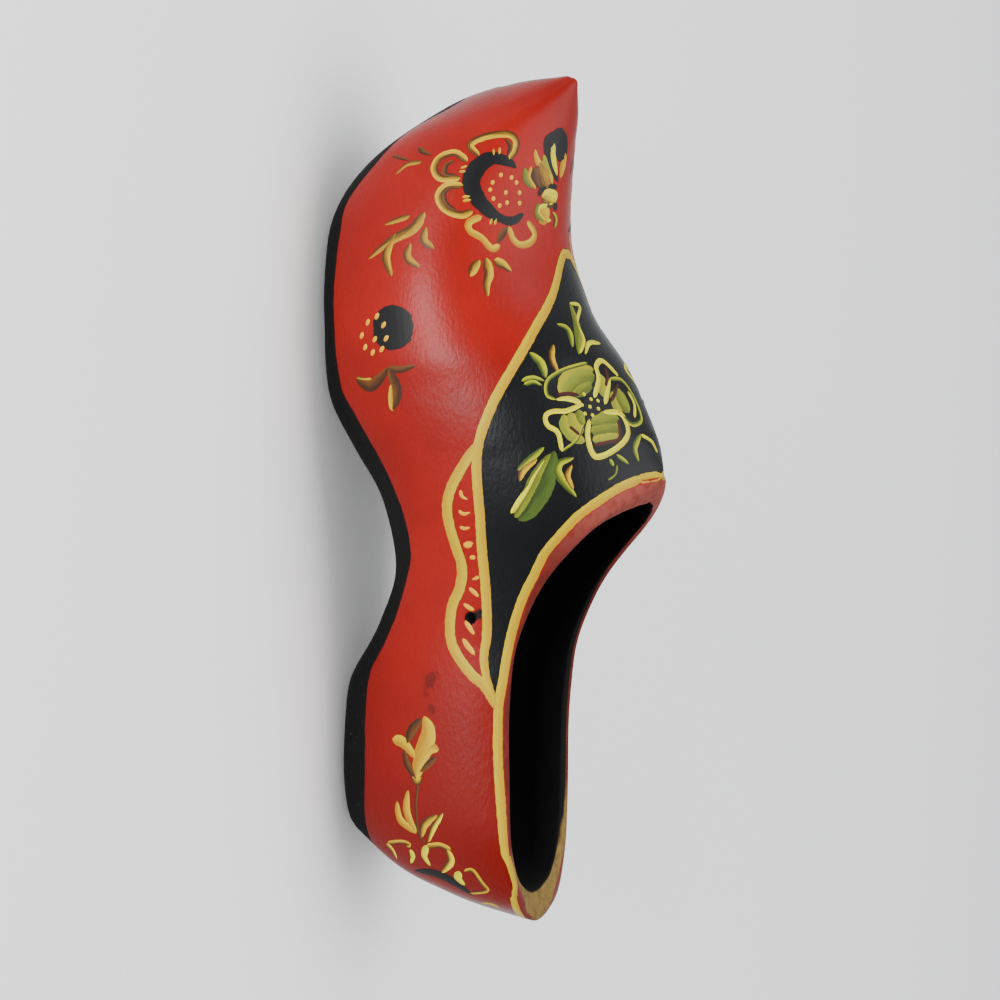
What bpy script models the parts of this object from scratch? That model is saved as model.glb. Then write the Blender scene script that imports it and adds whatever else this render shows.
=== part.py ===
"""A Dutch wooden clog for the right foot, carved whole from one block of poplar.

The toe points to +X, the inner side of the foot is +Y, and the sole stands on Z = 0. The block is one
hollow solid. Its outside and its inside are each swept along the foot through a table of sections, and
the two surfaces meet in the rim of the collar and in a small tie hole through the inner wall.
"""

from collections import namedtuple
from math import cos, pi, radians, sin

import bmesh
import bpy
from mathutils import Vector
from mathutils.geometry import interpolate_bezier

MM = 0.001

# Driving dimensions, in millimetres.
LENGTH = 280.0
TOE_SWING = 8.0
SWING_START = 110.0
RIM_CROWN = 1.2
FOOTBED_DISH = 2.0
TIE_HOLE_RADIUS = 1.7
TIE_HOLE_X = 101.0
TIE_HOLE_Z = 54.0

# How the lower wall leaves its low line, as shares of its spread and rise, and how it arrives upright at
# its widest line, as a share of its rise.
Leave = namedtuple("Leave", "out up")
OUTSIDE_LEAVE = Leave(0.45, 0.22)
INSIDE_LEAVE = Leave(0.70, 0.15)
ARRIVE = 0.40

# The two enamels, by their places in the mesh's list of materials.
Enamel = namedtuple("Enamel", "name colour roughness")
ENAMELS = [
    Enamel("red_enamel", (0.46, 0.028, 0.016), 0.35),
    Enamel("black_enamel", (0.011, 0.011, 0.013), 0.40),
]
RED, BLACK = range(len(ENAMELS))

# How finely the surfaces are divided, and how the turn from collar to instep is scraped smooth.
COLUMNS_PER_SECTION = 4
LOWER_ROWS = 5
UPPER_ROWS = 7
FLOOR_STEPS = 6
RIM_STEPS = 3
WELD = 1e-6
SHARP_DEG = 45
SCRAPE_PASSES = 3
SCRAPE_FACTOR = 0.5
SCRAPE_FROM, SCRAPE_TO = "arch", "ball"

# One row for each section, from the back of the heel to the toe. low is the edge of the sole, or of the
# footbed inside. mid is the widest line. top is the rim of the collar as far as the throat, and past it
# the ridge of the instep, or the roof inside. x is measured from the back of the heel, half is half a
# width, z is a height, and crown is the angle through which the wall turns in above its widest line.
Section = namedtuple("Section", "name low_x low_half low_z mid_x mid_half mid_z top_x top_half top_z crown")

OUTSIDE = [
    Section("heel_back", 31, 0, 0, 12.5, 0, 33, 0, 0, 63, 35),
    Section("heel_quarter", 34.5, 16, 0, 17.5, 23.5, 33, 6.5, 18, 63.2, 38),
    Section("heel_side", 54, 21.5, 0, 41, 34.5, 35, 30, 28.5, 63, 42),
    Section("heel_breast", 77, 20.5, 1.0, 70, 36, 37, 60, 29.5, 62.8, 45),
    Section("waist", 97.5, 17, 11, 93, 36.5, 39, 86, 30.5, 64.5, 48),
    Section("arch", 118, 17, 18.5, 116, 39.5, 41, 110, 30.5, 73.5, 52),
    Section("throat_side", 140, 23, 16.5, 136, 45, 40, 132, 27, 92, 66),
    Section("throat", 158, 30, 8, 156, 49.5, 38, 148, 0, 107.5, 86),
    Section("ball", 178, 33.5, 0, 178, 52.5, 35, 177, 0, 98, 86),
    Section("tread", 200, 34.5, 0, 203, 51.5, 34, 205, 0, 80, 84),
    Section("toe_root", 220, 31, 1.8, 229, 46, 37, 231, 0, 73.8, 82),
    Section("bow_quarter", 236, 18, 3.6, 262, 30, 46, 265, 0, 78, 84),
    Section("bow", 241, 0, 4.5, 278, 0, 58, LENGTH, 0, 79.5, 84),
]
INSIDE = [
    Section("heel_back", 22, 0, 30, 16, 0, 44, 9.5, 0, 61.5, 35),
    Section("heel_quarter", 25, 14, 29.5, 20.5, 17, 44, 14, 13.6, 61.9, 38),
    Section("heel_side", 42, 23, 29, 40, 26.5, 45, 33, 24, 61.8, 42),
    Section("heel_breast", 70, 23.5, 29, 68, 28.5, 46, 60.5, 25.6, 61.8, 45),
    Section("waist", 95, 23.5, 29.5, 92, 29.5, 48, 86, 26.7, 63.6, 48),
    Section("arch", 118, 24, 31, 116, 32, 51, 109.2, 27.2, 72.3, 52),
    Section("throat_side", 138, 28, 30, 134, 36, 52, 130, 24.2, 90.2, 66),
    Section("throat", 156, 33, 27, 153, 40.5, 51, 139, 0, 102.5, 86),
    Section("ball", 178, 37, 22, 177, 43.5, 47, 172, 0, 91.5, 86),
    Section("tread", 200, 37, 20, 200, 42.5, 42, 200, 0, 75, 84),
    Section("toe_root", 219, 30, 20, 220, 35, 39, 221, 0, 62, 80),
    Section("toe_quarter", 234, 17, 21, 236, 19.5, 37, 238, 0, 55, 76),
    Section("toe_end", 240, 0, 22, 245, 0, 38, 247, 0, 52, 74),
]
THROAT = [section.name for section in OUTSIDE].index("throat")
LAST = len(OUTSIDE) - 1
COLUMNS = LAST * COLUMNS_PER_SECTION
THROAT_COLUMN = THROAT * COLUMNS_PER_SECTION

# How a curve goes on past its two ends: SAME and TURNED mirror it, with its sign kept or changed, so that
# it crosses the middle of the foot at a right angle, and FREE runs straight on.
SAME, TURNED, FREE = "same", "turned", "free"


def beyond(end, neighbour, way):
    """The value one step past the end of a curve."""
    if way == SAME:
        return neighbour
    if way == TURNED:
        return -neighbour
    return 2 * end - neighbour


def smooth(values, at, start_way, end_way):
    """A cubic through values one step apart that never overshoots them, read at a place along it."""
    before = beyond(values[0], values[1], start_way)
    after = beyond(values[-1], values[-2], end_way)
    points = [before, *values, after]
    rises = [b - a for a, b in zip(points, points[1:])]
    slopes = [2 * a * b / (a + b) if a * b > 0 else 0.0 for a, b in zip(rises, rises[1:])]
    step = min(int(at), len(values) - 2)
    t = at - step
    start, end = values[step], values[step + 1]
    ease = t * t * (3 - 2 * t)
    return (
        start
        + (end - start) * ease
        + slopes[step] * t * (1 - t) ** 2
        - slopes[step + 1] * t * t * (1 - t)
    )


def rail_point(table, line, at):
    """x, half width and height of one lengthwise line (low, mid or top) at a place along the foot."""
    found = []
    for part in ("x", "half", "z"):
        values = [getattr(section, f"{line}_{part}") for section in table]
        way = TURNED if part == "half" else SAME
        if line != "top":
            found.append(smooth(values, at, way, way))
        elif at <= THROAT:
            found.append(smooth(values[: THROAT + 1], at, way, way))
        else:
            found.append(smooth(values[THROAT:], at - THROAT, SAME if part == "z" else FREE, FREE))
    return Vector(found)


def section_points(table, at, leave):
    """Half of the cross-section from the low line over the widest line to the top line."""
    low, mid, top = (rail_point(table, line, at) for line in ("low", "mid", "top"))
    crown = radians(smooth([section.crown for section in table], at, FREE, FREE))
    span = mid - low
    lean = (top.x - mid.x) / (top.z - mid.z)
    leaving = low + Vector((span.x * leave.out, span.y * leave.out, span.z * leave.up))
    arriving = mid - Vector((lean, 0, 1)) * span.z * ARRIVE
    points = list(interpolate_bezier(low, leaving, arriving, mid, LOWER_ROWS + 1))
    for row in range(1, UPPER_ROWS + 1):
        turn = crown * row / UPPER_ROWS
        inward = (1 - cos(turn)) / (1 - cos(crown))
        upward = sin(turn) / sin(crown)
        span = top - mid
        points.append(mid + Vector((span.x * upward, span.y * inward, span.z * upward)))
    return points


def placed(point, side):
    """A point of a half section, in metres on its side of the foot, with the toe swung inwards."""
    along = max(0.0, point.x - SWING_START) / (LENGTH - SWING_START)
    swing = TOE_SWING * along * along
    return Vector((point.x, swing + side * point.y, point.z)) * MM


def add_grid(mesh, rows, material):
    """Quads between neighbouring rows of points."""
    verts = [[mesh.verts.new(point) for point in row] for row in rows]
    for first, second in zip(verts, verts[1:]):
        for a, b, c, d in zip(first, first[1:], second[1:], second):
            mesh.faces.new((a, b, c, d)).material_index = material
    return verts


def add_wall(mesh, columns, side, material):
    """One side of the outside or of the inside, with the verts marked that scraping may move."""
    verts = add_grid(mesh, [[placed(point, side) for point in column] for column in columns], material)
    free = mesh.verts.layers.int["free"]
    names = [section.name for section in OUTSIDE]
    first = names.index(SCRAPE_FROM) * COLUMNS_PER_SECTION
    last = names.index(SCRAPE_TO) * COLUMNS_PER_SECTION
    for column in verts[first : last + 1]:
        for vert in column[1:-1]:
            vert[free] = 1
    return verts


def add_floor(mesh, columns, dish, material):
    """The sole or the footbed, between the low lines of the two sides."""
    rows = []
    for column in columns:
        inner_side, outer_side = placed(column[0], 1), placed(column[0], -1)
        row = []
        for step in range(FLOOR_STEPS + 1):
            share = step / FLOOR_STEPS
            sunk = Vector((0, 0, dish * sin(pi * share) * MM))
            row.append(inner_side.lerp(outer_side, share) - sunk)
        rows.append(row)
    add_grid(mesh, rows, material)


def add_rim(mesh, outside, inside, side, material):
    """The rounded top of the wall round the collar, as far as the throat."""
    rows = []
    for outer, inner in zip(outside[: THROAT_COLUMN + 1], inside[: THROAT_COLUMN + 1]):
        start, end = placed(outer[-1], side), placed(inner[-1], side)
        row = []
        for step in range(RIM_STEPS + 1):
            share = step / RIM_STEPS
            raised = Vector((0, 0, RIM_CROWN * sin(pi * share) * MM))
            row.append(start.lerp(end, share) + raised)
        rows.append(row)
    add_grid(mesh, rows, material)


def nearest(verts, x, z):
    """The vertex of a wall that lies nearest to a place seen from the side."""
    place = Vector((x * MM, z * MM))
    inner_verts = [vert for column in verts[1:-1] for vert in column[1:-1]]
    return min(inner_verts, key=lambda vert: (Vector((vert.co.x, vert.co.z)) - place).length)


def open_mouth(mesh, verts):
    """One mouth of the tie hole: four quads of a wall become a ring round an open octagon."""
    vert = nearest(verts, TIE_HOLE_X, TIE_HOLE_Z)
    centre = vert.co.copy()
    patch = bmesh.utils.face_join(list(vert.link_faces), True)
    bmesh.ops.inset_individual(mesh, faces=[patch], thickness=TIE_HOLE_RADIUS * MM)
    for corner in patch.verts:
        corner.co = centre + (corner.co - centre).normalized() * TIE_HOLE_RADIUS * MM
    edges = list(patch.edges)
    bmesh.ops.delete(mesh, geom=[patch], context="FACES_ONLY")
    return edges


def paint(enamel):
    material = bpy.data.materials.new(enamel.name)
    material.use_nodes = True
    shader = material.node_tree.nodes["Principled BSDF"]
    shader.inputs["Base Color"].default_value = (*enamel.colour, 1)
    shader.inputs["Roughness"].default_value = enamel.roughness
    shader.inputs["Metallic"].default_value = 0
    return material


def clog_body():
    """The carved block as one closed mesh, with the middle of its footprint at the origin."""
    mesh = bmesh.new()
    free = mesh.verts.layers.int.new("free")
    places = [column / COLUMNS_PER_SECTION for column in range(COLUMNS + 1)]
    outside = [section_points(OUTSIDE, at, OUTSIDE_LEAVE) for at in places]
    inside = [section_points(INSIDE, at, INSIDE_LEAVE) for at in places]
    mouths = []
    for side in (1, -1):
        outer = add_wall(mesh, outside, side, RED)
        inner = add_wall(mesh, inside, side, BLACK)
        if side == 1:
            mouths = open_mouth(mesh, outer) + open_mouth(mesh, inner)
        add_rim(mesh, outside, inside, side, RED)
    add_floor(mesh, outside, 0.0, BLACK)
    add_floor(mesh, inside, FOOTBED_DISH, BLACK)
    bmesh.ops.bridge_loops(mesh, edges=mouths)
    bmesh.ops.remove_doubles(mesh, verts=mesh.verts, dist=WELD)
    bmesh.ops.recalc_face_normals(mesh, faces=mesh.faces)
    if mesh.calc_volume(signed=True) < 0:
        bmesh.ops.reverse_faces(mesh, faces=mesh.faces)
    scraped = [vert for vert in mesh.verts if vert[free]]
    for _ in range(SCRAPE_PASSES):
        bmesh.ops.smooth_vert(
            mesh, verts=scraped, factor=SCRAPE_FACTOR, use_axis_x=True, use_axis_y=True, use_axis_z=True
        )
    # A tip has only the last quad of each side, so each is split from the tip to give it a body.
    for tip in [vert for vert in mesh.verts if len(vert.link_faces) == 2]:
        for loop in list(tip.link_loops):
            bmesh.utils.face_split(loop.face, tip, loop.link_loop_next.link_loop_next.vert)
    xs = [vert.co.x for vert in mesh.verts]
    ys = [vert.co.y for vert in mesh.verts]
    middle = Vector((min(xs) + max(xs), min(ys) + max(ys), 0)) / 2
    bmesh.ops.translate(mesh, verts=mesh.verts, vec=-middle)

    data = bpy.data.meshes.new("clog_body")
    mesh.to_mesh(data)
    mesh.free()
    for enamel in ENAMELS:
        data.materials.append(paint(enamel))
    data.shade_smooth()
    data.set_sharp_from_angle(angle=radians(SHARP_DEG))
    body = bpy.data.objects.new("clog_body", data)
    bpy.context.scene.collection.objects.link(body)
    return body


for old in list(bpy.data.objects):
    bpy.data.objects.remove(old, do_unlink=True)
clog_body()
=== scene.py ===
# %% [markdown]
# A painted wooden clog, carved from one block and enamelled by hand.
# The carved form comes from the shared frame. This lesson smooths it the way a scraper
# and sandpaper would, then paints it: a red coat, a black sole, a black panel over the
# instep, yellow lines and brushed flowers. Blender works in metres here, so MM turns a
# size that is known in millimetres into one that it takes.

from collections import namedtuple
from math import ceil, cos, radians, sin, sqrt

import bmesh
import bpy
import numpy as np
from mathutils import Matrix, Vector, noise
from mathutils.bvhtree import BVHTree
from mathutils.kdtree import KDTree


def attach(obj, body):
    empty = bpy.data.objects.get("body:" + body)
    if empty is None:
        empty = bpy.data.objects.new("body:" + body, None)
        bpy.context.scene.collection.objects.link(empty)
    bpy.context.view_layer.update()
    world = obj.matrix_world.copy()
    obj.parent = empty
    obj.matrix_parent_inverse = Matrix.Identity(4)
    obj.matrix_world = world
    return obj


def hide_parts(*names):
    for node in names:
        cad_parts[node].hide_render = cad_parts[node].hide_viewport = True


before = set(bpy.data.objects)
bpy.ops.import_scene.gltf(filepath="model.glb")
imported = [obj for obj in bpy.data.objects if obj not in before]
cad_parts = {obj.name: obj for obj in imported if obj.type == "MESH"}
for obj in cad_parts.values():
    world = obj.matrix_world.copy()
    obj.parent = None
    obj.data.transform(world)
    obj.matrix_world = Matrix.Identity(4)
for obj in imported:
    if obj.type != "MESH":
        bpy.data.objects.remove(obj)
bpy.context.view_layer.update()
MM = 0.001
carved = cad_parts["clog_body"]

# %% [markdown]
# The clog is looked at from its inner side, a little from above, with the toe at the
# top of the picture. The same eye serves twice: it becomes the camera, and it lets a
# painted line be drawn where it is seen and laid on the wood behind it. That is surer
# than placing each point of a line in space. The second eye stands on the far side,
# nearly level, for the flowers that are painted there.

# %% The two eyes
PIXEL = 0.335 * MM
EYE_DISTANCE = 1.0
LOOK_AT = Vector((0, 0, 50 * MM))
TOE_UP = Vector((1, 0, 0))

Eye = namedtuple("Eye", "place forward right middle")


def eye(side, elevation_deg, middle):
    """An eye on the +Y or -Y side that looks at LOOK_AT, with its picture's middle pixel."""
    rise = radians(elevation_deg)
    forward = Vector((0, -side * cos(rise), -sin(rise)))
    return Eye(LOOK_AT - forward * EYE_DISTANCE, forward, forward.cross(TOE_UP), middle)


NEAR_EYE = eye(1, 21.5, (672, 508))
FAR_EYE = eye(-1, 7.5, (345, 514))
print("camera stands at", [round(v, 3) for v in NEAR_EYE.place])

# %% [markdown]
# A carver leaves the block in facets and then scrapes and sands them away. The body
# could be modelled afresh, but a copy of the carved solid keeps its exact place. The copy
# is welded and its triangles are paired into four-sided faces, which subdivide more
# evenly. Its sharp edges are creased, so that the rim and the tie hole stay edges.

# %% Copy the carved body
EDGE_DEG = 38
EDGE_KEPT = 0.8
RIM_ABOVE = 40 * MM
WELD = 0.001 * MM
PAIR_BEND_DEG = 40
PAIR_SKEW_DEG = 60


def only(obj):
    """Make this the one selected and active object."""
    bpy.ops.object.select_all(action="DESELECT")
    obj.select_set(True)
    bpy.context.view_layer.objects.active = obj


only(carved)
bpy.ops.object.duplicate()
body = bpy.context.active_object
body.name = "painted_body"
body.data.name = "painted_body"
only(body)
carved_surface = BVHTree.FromPolygons(
    [v.co for v in body.data.vertices],
    [p.vertices for p in body.data.polygons],
)
tip = max(body.data.vertices, key=lambda v: v.co.x + v.co.z).co.copy()
bpy.ops.object.mode_set(mode="EDIT")
bpy.ops.mesh.select_all(action="SELECT")
bpy.ops.mesh.remove_doubles(threshold=WELD)
bpy.ops.mesh.tris_convert_to_quads(
    face_threshold=radians(PAIR_BEND_DEG),
    shape_threshold=radians(PAIR_SKEW_DEG),
)
bpy.ops.mesh.normals_make_consistent(inside=False)
bpy.ops.mesh.select_all(action="DESELECT")
bpy.ops.mesh.edges_select_sharp(sharpness=radians(EDGE_DEG))
bpy.ops.transform.edge_crease(value=EDGE_KEPT)
bpy.ops.object.mode_set(mode="OBJECT")
edges_kept = [v.co.copy() for v in body.data.vertices if v.select and v.co.z > RIM_ABOVE]
print("creased", len(edges_kept), "edge points; the toe's tip is at", [round(v, 4) for v in tip])

# %% [markdown]
# Two rounds of subdivision give the sanded curve. What is still uneven is rubbed down by
# Blender's vertex smoothing, which moves each point toward the middle of its neighbours.
# The paper stays clear of the rim and the tie hole, and works longest at the tip of the
# toe, where the facets were narrowest.

# %% Sand the facets away
SANDING_ROUNDS = 2
PAPER_BITE = 0.5
PAPER_CLEAR = 7 * MM
PAPER_PASSES = 30
TIP_REACH = 26 * MM
TIP_PASSES = 60


def pick(obj, wanted):
    """Select the vertices that pass a test, and leave the object in edit mode."""
    bpy.ops.object.mode_set(mode="EDIT")
    bpy.ops.mesh.select_mode(type="VERT")
    bpy.ops.mesh.select_all(action="DESELECT")
    bpy.ops.object.mode_set(mode="OBJECT")
    for vertex in obj.data.vertices:
        vertex.select = wanted(vertex)
    picked = sum(vertex.select for vertex in obj.data.vertices)
    bpy.ops.object.mode_set(mode="EDIT")
    return picked


sanding = body.modifiers.new("sanding", "SUBSURF")
sanding.levels = SANDING_ROUNDS
sanding.render_levels = SANDING_ROUNDS
bpy.ops.object.modifier_apply(modifier=sanding.name)
edge_finder = KDTree(len(edges_kept))
for index, place in enumerate(edges_kept):
    edge_finder.insert(place, index)
edge_finder.balance()
rubbed = pick(body, lambda vertex: edge_finder.find(vertex.co)[2] > PAPER_CLEAR)
bpy.ops.mesh.vertices_smooth(factor=PAPER_BITE, repeat=PAPER_PASSES)
rubbed_at_tip = pick(body, lambda vertex: (vertex.co - tip).length < TIP_REACH)
bpy.ops.mesh.vertices_smooth(factor=PAPER_BITE, repeat=TIP_PASSES)
bpy.ops.object.mode_set(mode="OBJECT")
print("rubbed", rubbed, "points, and", rubbed_at_tip, "at the tip, of", len(body.data.vertices))

# %% [markdown]
# Subdivision and smoothing also take wood away where the form bends most: at the bow of
# the toe and the round of the heel. A shrinkwrap would put every facet back. So the loss
# is measured against the carved solid, evened out over the neighbouring points, and
# added again along the normals.

# %% Put the lost wood back
ROUNDS_BACK = 5
SPREADS = 28

count = len(body.data.vertices)
links = np.array([edge.vertices[:] for edge in body.data.edges])
touching = np.bincount(links.ravel(), minlength=count)
for back in range(ROUNDS_BACK):
    lost = np.empty(count)
    for index, vertex in enumerate(body.data.vertices):
        lost[index] = (carved_surface.find_nearest(vertex.co)[0] - vertex.co).dot(vertex.normal)
    added = lost.copy()
    for spread in range(SPREADS):
        beside = np.bincount(links[:, 0], added[links[:, 1]], count)
        beside += np.bincount(links[:, 1], added[links[:, 0]], count)
        added = (added + beside / touching) / 2
    moves = [vertex.normal * amount for vertex, amount in zip(body.data.vertices, added)]
    for vertex, move in zip(body.data.vertices, moves):
        vertex.co += move
    body.data.update()
    print("wood lost, mm: most", round(lost.max() / MM, 2), "mean", round(lost.mean() / MM, 3))

# %% [markdown]
# The real clog is a little fuller than the carved solid under the bow of the toe and low
# on the back of the heel. A soft pull of a few millimetres on each, which fades out over
# the wood around it, gives that roundness. It is what proportional editing does by hand.

# %% Fill out the bow and the heel
Pull = namedtuple("Pull", "low high facing move reach")
# Boxes, moves and reaches are in millimetres.
PULLS = [
    Pull((94, -45, 0), (102, 45, 20), Vector((0, 0, -1)), (2.7, 0, -3.0), 40),
    Pull((-135, -45, 30), (-112, 45, 42), Vector((-1, 0, 0)), (-2.9, 0, -1.2), 30),
]
FACING_LEAST = 0.3
SOFT_EDIT = {
    "use_proportional_edit": True,
    "use_proportional_connected": True,
    "proportional_edit_falloff": "SMOOTH",
}


def in_pull(vertex, pull):
    """Whether a vertex lies in a pull's box and faces its way."""
    place = vertex.co / MM
    within = all(low < v < high for low, v, high in zip(pull.low, place, pull.high))
    return within and vertex.normal.dot(pull.facing) > FACING_LEAST


for pull in PULLS:
    pulled = pick(body, lambda vertex: in_pull(vertex, pull))
    bpy.ops.transform.translate(
        value=Vector(pull.move) * MM,
        proportional_size=pull.reach * MM,
        **SOFT_EDIT,
    )
    bpy.ops.object.mode_set(mode="OBJECT")
    print("pulled", pulled, "points by", pull.move, "mm")

# %% [markdown]
# The tip of the toe is blunt and rounded on the real clog, and the carved solid comes to
# a narrow ridge there. The cheeks on both sides of the ridge are fattened a little. Then
# nothing may lie below the floor, and the body takes the carved solid's place.

# %% Round the tip and hand the body over
RIDGE_HALF = 3 * MM
CHEEK_FROM = 5 * MM
CHEEK_TO = 12 * MM
CHEEK_FILL = 0.8 * MM
CHEEK_REACH = 16 * MM


def in_cheek(vertex):
    """Whether a vertex lies beside the ridge, close behind the tip."""
    beside_ridge = abs(vertex.co.y - tip.y) > RIDGE_HALF
    return beside_ridge and CHEEK_FROM < (vertex.co - tip).length < CHEEK_TO


filled = pick(body, in_cheek)
bpy.ops.transform.shrink_fatten(value=CHEEK_FILL, proportional_size=CHEEK_REACH, **SOFT_EDIT)
bpy.ops.object.mode_set(mode="OBJECT")
for vertex in body.data.vertices:
    vertex.co.z = max(0.0, vertex.co.z)
bpy.ops.object.shade_smooth()
body.data.materials.clear()
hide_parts("clog_body")
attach(body, "root")
print("filled", filled, "points beside the tip; the body has", len(body.data.polygons), "faces")

# %% [markdown]
# A painter's line follows the wood. These helpers find the wood behind a pixel, the same
# point on the other side of the clog, and a smooth line through a few points. The two
# sides mirror each other about a middle line that swings inward toward the toe.

# %% Reach the wood
TOE_SWING = 8 * MM
SWING_START = -30 * MM
SWING_END = 140 * MM
HEEL_MIDDLE = -1.493 * MM
PIXEL_BY_THE_TIP = (700, 120)

body.data.calc_loop_triangles()
wood = BVHTree.FromPolygons(
    [v.co for v in body.data.vertices],
    [t.vertices for t in body.data.loop_triangles],
)


def middle_y(x):
    """The y of the clog's middle line at x."""
    swung = max(0.0, x - SWING_START) / (SWING_END - SWING_START)
    return HEEL_MIDDLE + TOE_SWING * swung**2


def wood_behind(seen_from, pixel):
    """The point of the wood that this eye sees at this pixel."""
    sideways = (pixel[0] - seen_from.middle[0]) * PIXEL
    upward = (seen_from.middle[1] - pixel[1]) * PIXEL
    ray = seen_from.forward * EYE_DISTANCE + seen_from.right * sideways + TOE_UP * upward
    hit = wood.ray_cast(seen_from.place, ray.normalized())[0]
    if hit is None:
        print("no wood behind pixel", pixel)
    return hit


def trace(seen_from, pixels):
    """The wood behind each pixel of a line."""
    found = [wood_behind(seen_from, pixel) for pixel in pixels]
    return [point for point in found if point is not None]


def across(points):
    """The same points on the other side of the middle line."""
    return [Vector((p.x, 2 * middle_y(p.x) - p.y, p.z)) for p in points]


def smooth_line(points, step):
    """A smooth line through the points, with a point about every step."""
    ends = [2 * points[0] - points[1], *points, 2 * points[-1] - points[-2]]
    line = [points[0]]
    for before, start, end, after in zip(ends, ends[1:], ends[2:], ends[3:]):
        pieces = max(1, ceil((end - start).length / step))
        for piece in range(1, pieces + 1):
            t = piece / pieces
            pull = (end - before) * t + (2 * before - 5 * start + 4 * end - after) * t**2
            pull += (3 * start - before - 3 * end + after) * t**3
            line.append(start + pull / 2)
    return line


by_the_tip = wood_behind(NEAR_EYE, PIXEL_BY_THE_TIP)
print("a point near the toe's tip lies at", [round(v, 4) for v in by_the_tip])

# %% [markdown]
# Three coats meet on the wood: red on the walls, black on the sole, and a black panel
# over the instep inside a pointed yellow outline. A texture image could hold them, but
# the edges stay sharp at any distance when each point of the body knows how far it is
# from them. Both sides carry the same coats, so the far half is first folded onto the
# near one, and every point is then looked at by the near eye.

# %% See every point of the body
places = np.empty(count * 3)
normals = np.empty(count * 3)
body.data.vertices.foreach_get("co", places)
body.data.vertices.foreach_get("normal", normals)
places = places.reshape(-1, 3)
normals = normals.reshape(-1, 3)

swing = np.clip((places[:, 0] - SWING_START) / (SWING_END - SWING_START), 0, None)
middles = HEEL_MIDDLE + TOE_SWING * swing**2
folded = places.copy()
folded[:, 1] = middles + np.abs(places[:, 1] - middles)

from_eye = folded - np.array(NEAR_EYE.place)
depth = from_eye @ np.array(NEAR_EYE.forward)
seen = np.stack(
    [
        NEAR_EYE.middle[0] + from_eye @ np.array(NEAR_EYE.right) / depth * EYE_DISTANCE / PIXEL,
        NEAR_EYE.middle[1] - from_eye @ np.array(TOE_UP) / depth * EYE_DISTANCE / PIXEL,
    ],
    axis=1,
)
print("the body is seen from pixel", seen.min(axis=0).round(), "to", seen.max(axis=0).round())

# %% [markdown]
# The panel is bounded by its pointed outline below and by the collar above, and it runs
# on over the ridge of the instep. Each point stores its distance from that edge in
# millimetres, above zero inside the panel and below zero outside it.

# %% Mark out the panel
PANEL_EDGE = [
    (734, 266), (724, 304), (704, 342), (684, 377), (667, 407), (654, 439), (649, 462),
    (649, 487), (652, 524), (654, 559), (658, 602), (659, 640), (656, 664), (658, 683),
    (663, 699), (669, 716),
]
COLLAR_LINE = [
    (835, 484), (817, 486), (795, 494), (772, 508), (750, 524), (733, 542), (717, 561),
    (706, 583), (696, 603), (689, 622), (683, 644), (679, 664), (675, 688), (671, 710),
    (670, 727), (670, 764), (672, 800), (677, 856), (687, 891), (695, 915),
]
COLLAR_JOIN = 14
PAST_THE_RIDGE = [(900, 484), (900, 240), (741, 240)]
EDGE_STEP = 0.5 * MM


def inside_outline(points, outline):
    """Whether each picture point lies inside the closed outline."""
    crossings = np.zeros(len(points), dtype=int)
    for (x0, y0), (x1, y1) in zip(outline, outline[1:] + outline[:1]):
        if y0 == y1:
            continue
        spans = (points[:, 1] > min(y0, y1)) & (points[:, 1] <= max(y0, y1))
        edge_x = x0 + (points[:, 1] - y0) * (x1 - x0) / (y1 - y0)
        crossings += spans & (points[:, 0] < edge_x)
    return crossings % 2 == 1


def gap_to_line(points, line):
    """The distance of each point from the nearest point of a line."""
    gap = np.full(len(points), np.inf)
    for stop in line:
        gap = np.minimum(gap, np.linalg.norm(points - np.array(stop), axis=1))
    return gap


def store(obj, name, values):
    """Keep one number for each vertex."""
    layer = obj.data.attributes.new(name, "FLOAT", "POINT")
    layer.data.foreach_set("value", np.asarray(values, dtype=np.float32))


panel_line = smooth_line(trace(NEAR_EYE, PANEL_EDGE), EDGE_STEP)
collar_line = smooth_line(trace(NEAR_EYE, COLLAR_LINE), EDGE_STEP)
collar_back = COLLAR_LINE[COLLAR_JOIN - 1 :: -1]
in_panel = inside_outline(seen, PANEL_EDGE + collar_back + PAST_THE_RIDGE)
collar_gap = gap_to_line(folded, collar_line)
edge_gap = np.minimum(gap_to_line(folded, panel_line), collar_gap)
store(body, "panel_mm", np.where(in_panel, edge_gap, -edge_gap) / MM)
print("the panel covers", int(in_panel.sum()), "of", count, "points")

# %% [markdown]
# Feet and hands wear the paint off the rim. The rim is what lies above the collar's
# line, so it stores its distance from that line in the same way.

# %% Mark out the rim
PAST_THE_HEEL = [(710, 932), (1000, 932), (1000, 482)]

on_rim = inside_outline(seen, COLLAR_LINE + PAST_THE_HEEL)
store(body, "rim_mm", np.where(on_rim, collar_gap, -collar_gap) / MM)
print("the rim and what it hides cover", int(on_rim.sum()), "points")

# %% [markdown]
# The sole was dipped or brushed black up to a line cut in by eye. The line is traced on
# the near side and carried on round the heel and the toe, and it serves both sides, so
# that it meets itself at the front.

# %% Mark out the sole
SOLE_LINE = [
    (538, 830), (537, 789), (538, 714), (543, 679), (550, 664), (567, 627), (578, 590),
    (583, 560), (576, 524), (567, 499), (556, 474), (542, 449), (528, 424), (515, 400),
    (510, 375), (507, 350), (506, 300), (508, 275), (513, 236), (519, 211), (533, 190),
    (547, 173), (566, 152), (585, 137),
]
SOLE_AT_HEEL = Vector((-140, 0, 13)) * MM
SOLE_AT_TOE = [Vector((129, 0, 42)) * MM, Vector((135, 0, 47)) * MM, Vector((143, 0, 53)) * MM]
SOLE_STEP = 1 * MM

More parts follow.
